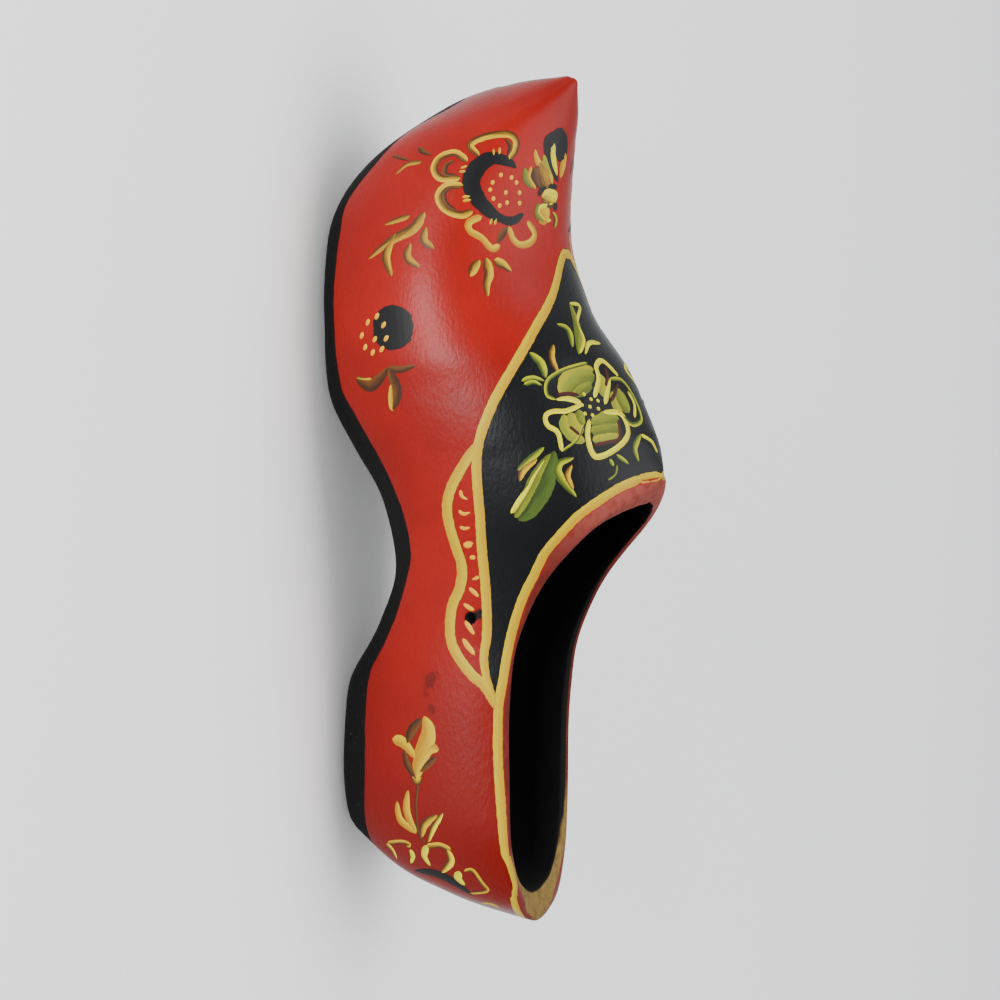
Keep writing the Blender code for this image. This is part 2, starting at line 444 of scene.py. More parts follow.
sole_stops = [SOLE_AT_HEEL, *trace(NEAR_EYE, SOLE_LINE), *SOLE_AT_TOE]
sole_line = smooth_line([Vector((p.x, 0, p.z)) for p in sole_stops], SOLE_STEP)
sole_line = sorted((p.x, p.z) for p in sole_line)
sole_top = np.interp(places[:, 0], *zip(*sole_line))
store(body, "sole_mm", (places[:, 2] - sole_top) / MM)
print("the sole's line rises to", round(max(sole_top) / MM, 1), "mm")

# %% [markdown]
# The inside was stained dark, and the bore of the tie hole is given the same near-black.
# A point belongs to the inside when its wood faces the middle of the cavity.

# %% Mark out the inside
CAVITY_BACK = -110 * MM
CAVITY_FRONT = 90 * MM
CAVITY_HEIGHT = 45 * MM
HOLE_X = -39 * MM
HOLE_Z = 54 * MM
HOLE_REACH = 3 * MM
WALL_FACING = 0.8

hole_gap = np.hypot(places[:, 0] - HOLE_X, places[:, 2] - HOLE_Z)
in_hole = (hole_gap < HOLE_REACH) & (np.abs(normals[:, 1]) < WALL_FACING) & (places[:, 1] > 0)
cavity_x = np.clip(places[:, 0], CAVITY_BACK, CAVITY_FRONT)
cavity = np.stack([cavity_x, middles, np.full(count, CAVITY_HEIGHT)], axis=1)
toward = cavity - places
toward /= np.linalg.norm(toward, axis=1, keepdims=True)
facing_in = np.sum(normals * toward, axis=1)
store(body, "inside", np.where(in_hole, 1.0, facing_in))
print("the tie hole has", int(in_hole.sum()), "points; facing in:", int((facing_in > 0).sum()))

# %% [markdown]
# Enamel is a thick glossy paint, and it shrinks as it dries, so its colour is deep where
# it is thick and brighter where it is thin. The colours are written as a paint chart
# gives them and turned to the linear values that a shader takes. One small function adds
# each node of the finishes.

# %% A colour and a node
def paint(code):
    """A hex colour as the linear values a shader takes."""
    parts = [int(code[i : i + 2], 16) / 255 for i in (1, 3, 5)]
    return (*[p / 12.92 if p <= 0.04045 else ((p + 0.055) / 1.055) ** 2.4 for p in parts], 1.0)


def add(tree, kind, links, **settings):
    """Add a node with its settings, and give its inputs their values or links."""
    made = tree.nodes.new(kind)
    for name, value in settings.items():
        setattr(made, name, value)
    for name, value in links.items():
        if isinstance(value, bpy.types.NodeSocket):
            tree.links.new(value, made.inputs[name])
        else:
            made.inputs[name].default_value = value
    return made


print("the red is", [round(v, 3) for v in paint("#880C05")])

# %% [markdown]
# The finish starts from the stored distances. Each coat's edge is the zero of one of
# them. A hand does not cut in a perfect line, so a slow noise pushes every edge to and
# fro by a fraction of a millimetre.

# %% Cut in the coats
WOBBLE_SIZE = 5 * MM
# The stored distances are in millimetres, and so are the shakes of their edges.
PAINT_BLEED = 0.2
PANEL_SHAKE = 1.0
SOLE_SHAKE = 0.4
WORN_FROM = 1.4
WORN_TO = 2.4
RIM_SHAKE = 0.8
# The inside is stored as how squarely the wood faces the cavity.
INSIDE_FROM = -0.15
INSIDE_TO = 0.05
INSIDE_SHAKE = 0.1

# Brushed enamel over wood: an even, softly shining skin of colour, with brush marks.
enamel = bpy.data.materials.new("red_and_black_enamel")
enamel.use_nodes = True
tree = enamel.node_tree
tree.nodes.clear()
spot = add(tree, "ShaderNodeTexCoord", {}).outputs["Object"]
wobble = add(tree, "ShaderNodeTexNoise", {"Vector": spot, "Scale": 1 / WOBBLE_SIZE, "Detail": 3.0})
wobble = add(
    tree,
    "ShaderNodeMapRange",
    {0: wobble.outputs["Fac"], 1: 0.25, 2: 0.75, 3: -0.5, 4: 0.5},
    clamp=False,
).outputs[0]


def coat(name, start, end, shake):
    """How far a stored distance has gone from start to end, with a hand's shake in its edge."""
    gap = add(tree, "ShaderNodeAttribute", {}, attribute_name=name).outputs["Fac"]
    moved = add(tree, "ShaderNodeMath", {0: wobble, 1: shake, 2: gap}, operation="MULTIPLY_ADD")
    return add(
        tree,
        "ShaderNodeMapRange",
        {0: moved.outputs[0], 1: start, 2: end, 3: 0.0, 4: 1.0},
        interpolation_type="SMOOTHSTEP",
    ).outputs[0]


panel_share = coat("panel_mm", -PAINT_BLEED, PAINT_BLEED, PANEL_SHAKE)
sole_share = coat("sole_mm", PAINT_BLEED, -PAINT_BLEED, SOLE_SHAKE)
inside_share = coat("inside", INSIDE_FROM, INSIDE_TO, INSIDE_SHAKE)
rim_share = coat("rim_mm", WORN_FROM, WORN_TO, RIM_SHAKE)
print("four coats cut in with", len(tree.nodes), "nodes")

# %% [markdown]
# The red is laid first. It has broad darker patches where the paint is thick, and it
# is darkened toward the heel with painted shade, for the weaker light there. The panel
# and the sole go over it, and floor dust clings to the sole. Each coat is one Mix node
# over the coats below.

# %% Lay the coats
RED_PATCH = 40 * MM
BACKWARD = (-1, 0, 0)
HEEL_SHADE_FROM = 30 * MM
HEEL_SHADE_TO = 130 * MM
# Real floor dust is finer. It is drawn this coarse so that it shows.
DUST_SPECK = 0.9 * MM
# A Mix node has sockets for numbers, vectors and colours, so its colour sockets go by place.
FACTOR = 0
UNDER = 6
TOP = 7
MIXED = 2


def along(direction, start, end):
    """How far a point has gone from start to end in a direction."""
    gone = add(tree, "ShaderNodeVectorMath", {0: spot, 1: direction}, operation="DOT_PRODUCT")
    return add(
        tree,
        "ShaderNodeMapRange",
        {0: gone.outputs["Value"], 1: start, 2: end, 3: 0.0, 4: 1.0},
        interpolation_type="SMOOTHSTEP",
    ).outputs[0]


def speckle(size, low, high, stretch=(1.0, 1.0, 1.0)):
    """Soft specks of about this size, drawn out by the stretch."""
    drawn = add(tree, "ShaderNodeVectorMath", {0: spot, 1: stretch}, operation="MULTIPLY").outputs[0]
    grain = add(tree, "ShaderNodeTexNoise", {"Vector": drawn, "Scale": 1 / size, "Detail": 3.0})
    return add(
        tree, "ShaderNodeMapRange", {0: grain.outputs["Fac"], 1: low, 2: high, 3: 0.0, 4: 1.0}
    ).outputs[0]


dust = speckle(DUST_SPECK, 0.68, 0.78)
dust = add(tree, "ShaderNodeMath", {0: sole_share, 1: dust}, operation="MULTIPLY").outputs[0]
coats = paint("#880C05")
for colour, share in [
    ("#700803", speckle(RED_PATCH, 0.3, 0.7)),
    # painted shade: the red darkens toward the heel, where less light falls
    ("#600703", along(BACKWARD, HEEL_SHADE_FROM, HEEL_SHADE_TO)),
    ("#07080A", panel_share),
    ("#030303", sole_share),
    ("#3A3A38", dust),
]:
    coats = add(
        tree, "ShaderNodeMix", {FACTOR: share, UNDER: coats, TOP: paint(colour)}, data_type="RGBA"
    ).outputs[MIXED]
    print("laid", colour)

# %% [markdown]
# The rim is worn: dull pinkish red beside the throat, scuffed darker in short specks,
# and bare tan wood with a little grain round the heel, where the shoe is stepped into.

# %% Wear the rim
SCUFF_SPECK = 2.0 * MM
SCUFF_DEPTH = 0.8
GRAIN_SPECK = 3.0 * MM
ALONG_THE_GRAIN = (0.5, 1, 1)
THROATWARD = (1, 0, 0)
PINK_FROM = -28 * MM
PINK_TO = 4 * MM
HEELWARD = (-1, -0.35, 0)
BARE_FROM = 104 * MM
BARE_TO = 112 * MM

bare = add(
    tree,
    "ShaderNodeMix",
    {FACTOR: speckle(GRAIN_SPECK, 0.4, 0.75), UNDER: paint("#75602F"), TOP: paint("#5A3E22")},
    data_type="RGBA",
).outputs[MIXED]
scuffs = speckle(SCUFF_SPECK, 0.45, 0.7, ALONG_THE_GRAIN)
scuffs = add(tree, "ShaderNodeMath", {0: scuffs, 1: SCUFF_DEPTH}, operation="MULTIPLY").outputs[0]
worn = paint("#4E1610")
for top, share in [
    (paint("#7E3A32"), along(THROATWARD, PINK_FROM, PINK_TO)),
    (paint("#641C16"), scuffs),
    (bare, along(HEELWARD, BARE_FROM, BARE_TO)),
]:
    worn = add(
        tree, "ShaderNodeMix", {FACTOR: share, UNDER: worn, TOP: top}, data_type="RGBA"
    ).outputs[MIXED]
coats = add(
    tree, "ShaderNodeMix", {FACTOR: rim_share, UNDER: coats, TOP: worn}, data_type="RGBA"
).outputs[MIXED]
print("the rim is worn; the finish has", len(tree.nodes), "nodes")

# %% [markdown]
# A few dark smudges soil the red at the waist and about the tie hole. Each is a soft
# round spot with a ragged edge, placed where it is seen. The dark stain of the inside
# covers everything that faces the cavity.

# %% Soil the red and stain the inside
Smudge = namedtuple("Smudge", "pixel radius_mm strength")
SMUDGES = [
    Smudge((603, 688), 3.2, 0.5),
    Smudge((603, 717), 2.2, 0.45),
    Smudge((598, 703), 1.6, 0.25),
    Smudge((651, 622), 2.2, 1.0),
]
SMUDGE_CORE = 0.4

for smudge in SMUDGES:
    radius = smudge.radius_mm * MM
    place = wood_behind(NEAR_EYE, smudge.pixel)
    gap = add(tree, "ShaderNodeVectorMath", {0: spot, 1: place}, operation="DISTANCE").outputs["Value"]
    ragged = add(tree, "ShaderNodeMath", {0: wobble, 1: radius, 2: gap}, operation="MULTIPLY_ADD")
    share = add(
        tree,
        "ShaderNodeMapRange",
        {0: ragged.outputs[0], 1: SMUDGE_CORE * radius, 2: radius, 3: smudge.strength, 4: 0.0},
        interpolation_type="SMOOTHSTEP",
    ).outputs[0]
    coats = add(
        tree, "ShaderNodeMix", {FACTOR: share, UNDER: coats, TOP: paint("#140605")}, data_type="RGBA"
    ).outputs[MIXED]
coats = add(
    tree, "ShaderNodeMix", {FACTOR: inside_share, UNDER: coats, TOP: paint("#050505")}, data_type="RGBA"
).outputs[MIXED]
print("smudges laid:", len(SMUDGES))

# %% [markdown]
# The enamel shines softly, and the sole, the worn rim and the stained inside are matt.
# The brush leaves low marks along the clog, which a bump gives: they are too shallow to
# change the outline, so they need no geometry.

# %% Gloss and brush marks of the enamel
GLOSS = 0.37
MATT = 0.8
# Real bristle marks lie about 0.3 mm apart. They are drawn coarser so that they show.
MARK_WIDTH = 1.1 * MM
MARK_HEIGHT = 0.3 * MM
MARK_STRENGTH = 0.4
ENAMEL_SPECULAR = 0.15

matt = add(tree, "ShaderNodeMath", {0: sole_share, 1: rim_share}, operation="MAXIMUM").outputs[0]
matt = add(tree, "ShaderNodeMath", {0: matt, 1: inside_share}, operation="MAXIMUM").outputs[0]
gloss = add(tree, "ShaderNodeMapRange", {0: matt, 1: 0.0, 2: 1.0, 3: GLOSS, 4: MATT}).outputs[0]
marks = speckle(MARK_WIDTH, 0.0, 1.0, ALONG_THE_GRAIN)
raised = add(
    tree, "ShaderNodeBump", {"Height": marks, "Strength": MARK_STRENGTH, "Distance": MARK_HEIGHT}
).outputs["Normal"]
finish = add(
    tree,
    "ShaderNodeBsdfPrincipled",
    {"Base Color": coats, "Roughness": gloss, "Normal": raised, "Specular IOR Level": ENAMEL_SPECULAR},
)
add(tree, "ShaderNodeOutputMaterial", {"Surface": finish.outputs["BSDF"]})
body.data.materials.append(enamel)
print("the enamel has", len(tree.nodes), "nodes")

# %% [markdown]
# The flowers are brushed freehand, and a brush often carries a dark colour on one edge
# and a light one on the other. The colours of a load stand left and right of the stroke.
# A shape says where along the stroke the brush presses hardest, and how full the stroke
# stays toward its ends.

# %% Load the brush
LOADS = {
    "gold": ("#A89000", "#A07C00"),
    "ochre": ("#B09000", "#946800"),
    "shaded": ("#B08C00", "#3E2008"),
    "yellow": ("#BEBA00", "#AAA000"),
    "yellow_brown": ("#CCB400", "#402408"),
    "brown": ("#54300E", "#2E1808"),
    "bronze": ("#967010", "#44260A"),
    "olive": ("#6A7014", "#46500E"),
    "moss": ("#3A4C16", "#24320C"),
    "mustard": ("#8A8208", "#66701A"),
    "leaf": ("#929400", "#2E3E0E"),
    "black": ("#060608", "#090A0C"),
    "cream": ("#C69410", "#BA8208"),
    "maroon": ("#40100A", "#280C08"),
}
SHAPES = {"line": (0.5, 14.0), "leaf": (0.5, 1.6), "comma": (0.25, 1.7), "dab": (0.5, 2.2)}
print(len(LOADS), "loads of paint and", len(SHAPES), "shapes of stroke")

# %% [markdown]
# Brushed enamel stands a little proud and shows the bristles. The two colours of a load
# run into each other along thin streaks, so a noise drawn out along the stroke decides
# where one gives way to the other, and also raises the streaks.

# %% Brushed enamel
# Streaks vary slowly along a stroke and seven times across it, coarser than real bristles.
BRISTLES = (0.12, 7.0, 1.0)
STREAK_PULL = 1.1
TURN_FROM = 0.8
TURN_TO = 1.3
STREAK_HEIGHT = 0.1 * MM
STREAK_STRENGTH = 0.2
BRUSHED_GLOSS = 0.45
BRUSHED_SPECULAR = 0.18

# Thick hand-brushed paint: a duller shine than the coats, with fine streaks of two colours.
brushed = bpy.data.materials.new("brushed_enamel")
brushed.use_nodes = True
tree = brushed.node_tree
tree.nodes.clear()
left_load = add(tree, "ShaderNodeAttribute", {}, attribute_name="load_left").outputs["Color"]
right_load = add(tree, "ShaderNodeAttribute", {}, attribute_name="load_right").outputs["Color"]
share = add(tree, "ShaderNodeAttribute", {}, attribute_name="across").outputs["Fac"]
travel = add(tree, "ShaderNodeAttribute", {}, attribute_name="along").outputs["Fac"]
bristle = add(tree, "ShaderNodeCombineXYZ", {"X": travel, "Y": share}).outputs[0]
bristle = add(tree, "ShaderNodeVectorMath", {0: bristle, 1: BRISTLES}, operation="MULTIPLY").outputs[0]
streak = add(tree, "ShaderNodeTexNoise", {"Vector": bristle, "Scale": 1.0, "Detail": 3.0}).outputs["Fac"]
mixed = add(tree, "ShaderNodeMath", {0: streak, 1: STREAK_PULL, 2: share}, operation="MULTIPLY_ADD")
mixed = add(
    tree, "ShaderNodeMapRange", {0: mixed.outputs[0], 1: TURN_FROM, 2: TURN_TO, 3: 0.0, 4: 1.0}
).outputs[0]
load = add(
    tree, "ShaderNodeMix", {FACTOR: mixed, UNDER: left_load, TOP: right_load}, data_type="RGBA"
).outputs[MIXED]
ridge = add(
    tree, "ShaderNodeBump", {"Height": streak, "Strength": STREAK_STRENGTH, "Distance": STREAK_HEIGHT}
).outputs["Normal"]
finish = add(
    tree,
    "ShaderNodeBsdfPrincipled",
    {
        "Base Color": load,
        "Roughness": BRUSHED_GLOSS,
        "Normal": ridge,
        "Specular IOR Level": BRUSHED_SPECULAR,
    },
)
add(tree, "ShaderNodeOutputMaterial", {"Surface": finish.outputs["BSDF"]})
print("the brushed enamel has", len(tree.nodes), "nodes")

# %% [markdown]
# Each stroke is a low ridge of paint: the brush is pressed, swells, and lifts off. No
# operator lays a ridge on a curved surface, so a stroke is built point by point: ring
# after ring along its line, a tenth of a millimetre or so proud, with the edges tucked
# down to the wood and a root below it, so that the mesh is closed.

# %% Lay a stroke
STROKE_STEP = 0.7 * MM
FEWEST_STEPS = 10
ACROSS_STEP = 0.5 * MM
RAGGED = 0.16
RAGGED_SIZE = 1.3 * MM
PAINT_EDGE = 0.05 * MM
PAINT_BODY = 0.04 * MM
PAINT_LAYER = 0.06 * MM
PAINT_ROOT = 0.3 * MM
THINNEST = 0.08


def new_brushwork():
    """An empty mesh for strokes, with what each point needs to know of its stroke."""
    bm = bmesh.new()
    bm.verts.layers.float_color.new("load_left")
    bm.verts.layers.float_color.new("load_right")
    bm.verts.layers.float.new("across")
    bm.verts.layers.float.new("along")
    return bm


def stroke_ring(stop, ahead, half, width, layer):
    """One ring of a stroke: places on the wood, each with its share of the way across."""
    lanes = 2 * max(2, ceil(width / 2 / ACROSS_STEP))
    spot, normal = wood.find_nearest(stop)[:2]
    side = ahead.cross(normal).normalized()
    ring = []
    for lane in range(lanes + 1):
        k = 2 * lane / lanes - 1
        edge = (stop + side * half * (1 if k > 0 else -1)) / RAGGED_SIZE
        shake = min(half, width / 3) * RAGGED * noise.noise(edge) * k
        place, up = wood.find_nearest(spot + side * (half * k + shake))[:2]
        height = PAINT_EDGE + PAINT_BODY * (1 - k * k) + PAINT_LAYER * layer
        ring.append((place + up * height, (k + 1) / 2))
    ring.append((spot - normal * PAINT_ROOT, 0.5))
    return ring


def brush(bm, line, width, shape, load, layer=0):
    """Lay one stroke on the wood along a line."""
    peak, fullness = SHAPES[shape]
    left, right = [paint(code) for code in LOADS[load]]
    length = sum((end - start).length for start, end in zip(line, line[1:]))
    step = min(STROKE_STEP, length / FEWEST_STEPS)
    stops = smooth_line(line, step)
    rings = []
    for index, stop in enumerate(stops):
        t = index / (len(stops) - 1)
        reach = abs(t - peak) / (peak if t < peak else 1 - peak)
        half = width / 2 * max(THINNEST, sqrt(max(0.0, 1 - reach**fullness)))
        ahead = stops[min(index + 1, len(stops) - 1)] - stops[max(index - 1, 0)]
        ring = stroke_ring(stop, ahead, half, width, layer)
        rings.append([bm.verts.new(place) for place, share in ring])
        for vertex, (place, share) in zip(rings[-1], ring):
            vertex[bm.verts.layers.float_color["load_left"]] = left
            vertex[bm.verts.layers.float_color["load_right"]] = right
            vertex[bm.verts.layers.float["across"]] = share
            vertex[bm.verts.layers.float["along"]] = index * step / MM
    for first, second in zip(rings, rings[1:]):
        for a, b, c, d in zip(first, first[1:] + first[:1], second[1:] + second[:1], second):
            bm.faces.new((a, b, c, d))
    bm.faces.new(rings[0][::-1])
    bm.faces.new(rings[-1])


print("a stroke stands at most", round((PAINT_EDGE + PAINT_BODY) / MM, 2), "mm proud of the layer below")

# %% [markdown]
# The gold lines come first. One goes round the collar just under the rim. It is traced
# on the near side and mirrored, and round the back of the heel, which neither eye sees,
# its points are brought onto the wood from outside.

# %% Draw the line round the collar
SOFT_EDGE_DEG = 40
COLLAR_WIDTH = 3.1 * MM
FAR_DROP = Vector((0, 0, -1.6 * MM))
HEEL_MIDST = Vector((-100 * MM, HEEL_MIDDLE, 0))
HEEL_CLEAR = 20 * MM
HEEL_LINE_BACK = Vector((-140 * MM, HEEL_MIDDLE, 59.5 * MM))
HEEL_POINTS = 12


def hang_brushwork(bm, name):
    """Turn strokes into a piece of the clog."""
    bmesh.ops.recalc_face_normals(bm, faces=bm.faces)
    mesh = bpy.data.meshes.new(name)
    bm.to_mesh(mesh)
    bm.free()
    obj = bpy.data.objects.new(name, mesh)
    bpy.context.scene.collection.objects.link(obj)
    only(obj)
    bpy.ops.object.shade_smooth_by_angle(angle=radians(SOFT_EDGE_DEG))
    mesh.materials.append(brushed)
    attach(obj, "root")
    print(name, "has", len(mesh.polygons), "faces")


def from_outside(point):
    """Bring a point of the heel onto the wood from outside, so it can't slip onto the rim."""
    outward = (point - HEEL_MIDST) * Vector((1, 1, 0))
    outward.normalize()
    return wood.ray_cast(point + outward * HEEL_CLEAR, -outward)[0]


def round_the_heel(side_end):
    """Points on the wood from the end of a side's line to the middle of the heel's back."""
    shares = [(index + 1) / HEEL_POINTS for index in range(HEEL_POINTS)]
    return [from_outside(side_end.lerp(HEEL_LINE_BACK, share)) for share in shares]


gold = new_brushwork()
collar_near = trace(NEAR_EYE, COLLAR_LINE)
collar_far = [p + FAR_DROP for p in across(collar_near)]
collar_far = [from_outside(p) if p.x < HEEL_MIDST.x else p for p in collar_far]
throat_top = collar_near[0].lerp(collar_far[0], 0.5)
near_half = [*collar_near[:-1], *round_the_heel(collar_near[-2])]
far_half = [*collar_far, *round_the_heel(collar_far[-1])]
collar_ring = [*near_half[::-1], throat_top, *far_half]
brush(gold, collar_ring, COLLAR_WIDTH, "line", "gold")
print("the collar's line has", len(collar_ring), "points")

# %% [markdown]
# A second line makes the pointed outline of the instep panel, over the ridge and down
# both sides. A third swings out beside the panel and closes a narrow band for beads.
# They cross the collar's line, so they lie one layer higher.

# %% Outline the panel and the band
BAND_LINE = [
    (650, 450), (639, 467), (624, 494), (619, 514), (622, 536), (629, 558), (634, 575),
    (632, 595), (624, 615), (622, 640), (627, 659), (643, 682), (655, 692),
    (662, 703), (669, 718),
]
PANEL_WIDTH = 3.2 * MM
BAND_WIDTH = 3.4 * MM
PANEL_PEAK = Vector((1.5 * MM, 0, 0))

panel_near = trace(NEAR_EYE, PANEL_EDGE)
panel_far = across(panel_near)
panel_tip = panel_near[0].lerp(panel_far[0], 0.5) + PANEL_PEAK
brush(gold, [*panel_near[::-1], panel_tip, *panel_far], PANEL_WIDTH, "line", "gold", 1)
band_near = trace(NEAR_EYE, BAND_LINE)
brush(gold, band_near, BAND_WIDTH, "line", "gold", 1)
brush(gold, across(band_near), BAND_WIDTH, "line", "gold", 1)
hang_brushwork(gold, "gold_lines")

# %% [markdown]
# The flowers are drawn as they are seen, on enlarged sheets of the picture. A row is one
# stroke: its shape, its load of paint, its width in millimetres and the points the brush
# passes through on its sheet. Drawn this way, the strokes keep the painter's order. On
# the inner side of the toe there is a rounded flower with a dark heart and small leaves.

# %% Brush the toe flower
SHEET_ZOOM = 4.02
DOT_ACROSS = 6
DOT_DOWN = 5

Sheet = namedtuple("Sheet", "eye corner")


def brush_sheet(name, sheet, rows, layer=0, mirrored=False):
    """Brush every row of a sheet as one piece, and if asked, again on the other side."""
    bm = new_brushwork()
    left, top = sheet.corner
    for shape, load, width, points in rows:
        line = trace(sheet.eye, [(left + x / SHEET_ZOOM, top + y / SHEET_ZOOM) for x, y in points])
        if len(line) > 1:
            brush(bm, line, width * MM, shape, load, layer)
            if mirrored:
                brush(bm, across(line), width * MM, shape, load, layer)
    hang_brushwork(bm, name)


def dots(load, size, centres):
    """Rows for small dabs, each a short stroke about its centre."""
    return [
        ("dab", load, size, [(x - DOT_ACROSS, y - DOT_DOWN), (x + DOT_ACROSS, y + DOT_DOWN)])
        for x, y in centres
    ]


TOE_SHEET = Sheet(NEAR_EYE, (480, 70))
TOE_FLOWER = [
    (
        "line", "shaded", 2.4,
        [(808, 392), (832, 355), (836, 315), (800, 290), (705, 303), (652, 336), (688, 378)],
    ),
    ("leaf", "brown", 1.8, [(790, 308), (815, 340), (800, 382)]),
    ("line", "shaded", 2.5, [(612, 466), (535, 468), (508, 430), (530, 385), (590, 366), (642, 400)]),
    ("leaf", "brown", 1.8, [(600, 458), (552, 450), (556, 415), (590, 398)]),
    ("line", "shaded", 2.5, [(662, 600), (612, 615), (552, 592), (525, 542), (556, 500), (624, 497)]),
    ("leaf", "brown", 1.6, [(600, 600), (556, 570), (548, 530), (575, 508)]),
    ("line", "ochre", 2.3, [(698, 620), (648, 645), (652, 680), (698, 708), (738, 750), (772, 738)]),
    ("leaf", "brown", 2.6, [(760, 728), (778, 695), (802, 664)]),
    ("line", "ochre", 2.3, [(806, 662), (826, 715), (858, 736), (898, 722), (910, 688), (882, 640)]),
    ("dab", "ochre", 0.9, [(746, 350), (746, 376)]),
    ("dab", "ochre", 0.9, [(771, 344), (768, 372)]),
    ("dab", "ochre", 0.8, [(614, 428), (640, 418)]),
    ("dab", "ochre", 0.8, [(608, 442), (634, 440)]),
    ("dab", "ochre", 1.0, [(620, 544), (652, 540)]),
    ("dab", "ochre", 1.0, [(622, 560), (656, 554)]),
    ("dab", "ochre", 0.9, [(732, 654), (740, 630)]),
    ("dab", "ochre", 0.9, [(750, 654), (758, 630)]),
    ("comma", "brown", 1.4, [(340, 378), (372, 386), (406, 396)]),
    ("comma", "brown", 1.9, [(444, 344), (465, 362), (496, 374)]),
    ("comma", "bronze", 1.8, [(456, 402), (400, 412), (352, 452)]),
    ("comma", "bronze", 2.0, [(410, 618), (358, 636), (308, 654)]),
    ("comma", "bronze", 3.6, [(470, 604), (420, 672), (340, 715), (244, 792)]),
    ("line", "ochre", 1.2, [(466, 612), (420, 672), (372, 708)]),
    ("leaf", "bronze", 3.2, [(352, 690), (314, 775), (336, 862)]),
    ("leaf", "ochre", 1.6, [(340, 730), (322, 790), (336, 862)]),
    ("leaf", "bronze", 2.8, [(474, 664), (466, 716), (506, 752)]),
    ("leaf", "bronze", 2.8, [(412, 728), (400, 786), (450, 828)]),
    ("leaf", "shaded", 3.2, [(690, 796), (670, 825), (650, 862)]),
    ("comma", "shaded", 3.4, [(716, 788), (728, 850), (718, 895), (722, 942)]),
    ("comma", "shaded", 3.2, [(748, 796), (785, 816), (818, 842)]),
    (
        "leaf", "black", 6.0,
        [(826, 418), (745, 386), (682, 425), (656, 492), (692, 562), (752, 618), (800, 640)],
    ),
    ("dab", "black", 3.0, [(838, 426), (800, 396), (750, 388), (700, 410)]),
    ("dab", "black", 3.0, [(735, 600), (790, 636), (830, 636), (866, 610)]),
] + dots(
    "cream",
    1.5,
    [
        (775, 455), (818, 465), (742, 485), (838, 485), (732, 514), (795, 525), (850, 526),
        (745, 550), (800, 566), (770, 578), (850, 568),
    ],
)
brush_sheet("toe_flower", TOE_SHEET, TOE_FLOWER)

# %% [markdown]
# On the ridge above the toe flower sits a closed bud, half black and half yellow, with
# olive and brown leaves below it. Its strokes overlap, so it lies one layer higher.

# %% Brush the bud on the toe's ridge
RIDGE_BUD = [
    ("dab", "bronze", 10.0, [(930, 404), (948, 450), (962, 506)]),
    ("leaf", "olive", 3.0, [(870, 426), (878, 472), (900, 506)]),
    ("leaf", "brown", 3.6, [(906, 424), (916, 468), (930, 505)]),
    ("line", "ochre", 1.3, [(898, 420), (888, 464), (914, 510)]),
    ("leaf", "shaded", 4.0, [(962, 422), (968, 462), (982, 492)]),
    ("leaf", "ochre", 2.6, [(912, 352), (918, 388), (942, 438), (964, 466)]),
    ("leaf", "mustard", 3.2, [(946, 374), (958, 414), (972, 450)]),
    ("leaf", "ochre", 3.6, [(1034, 366), (1024, 414), (1014, 466)]),
    ("dab", "black", 9.0, [(984, 282), (1004, 312), (1018, 352), (1030, 392)]),
    ("leaf", "black", 3.8, [(992, 280), (962, 318), (966, 368), (976, 412), (1004, 482)]),
    ("leaf", "yellow", 4.2, [(990, 328), (982, 382), (986, 420), (1000, 456)]),
    ("line", "black", 1.9, [(927, 540), (938, 513), (966, 498), (1000, 504)]),
    ("dab", "ochre", 7.0, [(938, 592), (948, 616), (964, 638)]),
    ("leaf", "olive", 2.6, [(926, 566), (920, 610), (948, 644)]),
    ("dab", "yellow_brown", 6.4, [(940, 540), (970, 550), (994, 566)]),
    ("line", "yellow", 1.9, [(940, 544), (974, 524), (996, 534), (988, 560), (968, 572)]),
    ("line", "yellow", 1.5, [(924, 610), (934, 584), (962, 574)]),
    ("leaf", "yellow", 1.9, [(928, 606), (950, 632), (976, 638)]),
    ("leaf", "leaf", 1.8, [(982, 604), (996, 632), (990, 668)]),
    ("dab", "black", 2.6, [(986, 556), (992, 576), (996, 598)]),
]
brush_sheet("ridge_bud", TOE_SHEET, RIDGE_BUD, 1)

# %% [markdown]
# On the ball sits a black berry with cream dots on it, above a brown twig. The berry is
# one broad dab, and the dots are laid on top when it is dry, two layers higher.

# %% Brush the berry and the twig
BALL_SHEET = Sheet(NEAR_EYE, (480, 300))
BERRY = [("dab", "black", 14.6, [(344, 52), (338, 145), (330, 234)])]
BERRY_DOTS = dots(
    "cream",
    2.3,
    [
        (278, 98), (305, 133), (242, 122), (218, 175), (270, 190), (315, 187),
        (232, 222), (262, 243), (298, 230),
    ],
)
TWIG = [
    ("comma", "brown", 4.2, [(194, 348), (250, 376), (292, 344), (320, 306)]),
    ("line", "ochre", 0.9, [(196, 346), (228, 352), (256, 350)]),
    ("comma", "brown", 2.4, [(320, 306), (368, 312), (432, 296)]),
    ("leaf", "brown", 4.0, [(340, 474), (356, 400), (326, 304)]),
    ("comma", "ochre", 2.2, [(340, 478), (334, 420), (334, 372)]),
]
brush_sheet("berry", BALL_SHEET, BERRY)
brush_sheet("berry_dots", BALL_SHEET, BERRY_DOTS, 2)
brush_sheet("twig", BALL_SHEET, TWIG)

# %% [markdown]
# Over the black panel lies the largest flower. A painter fills the petals with thin olive
# and mustard first, adds the leaves, outlines the petals in bright yellow, and last dots
# the dark heart. The layers follow that order, so that each stroke covers the one before.

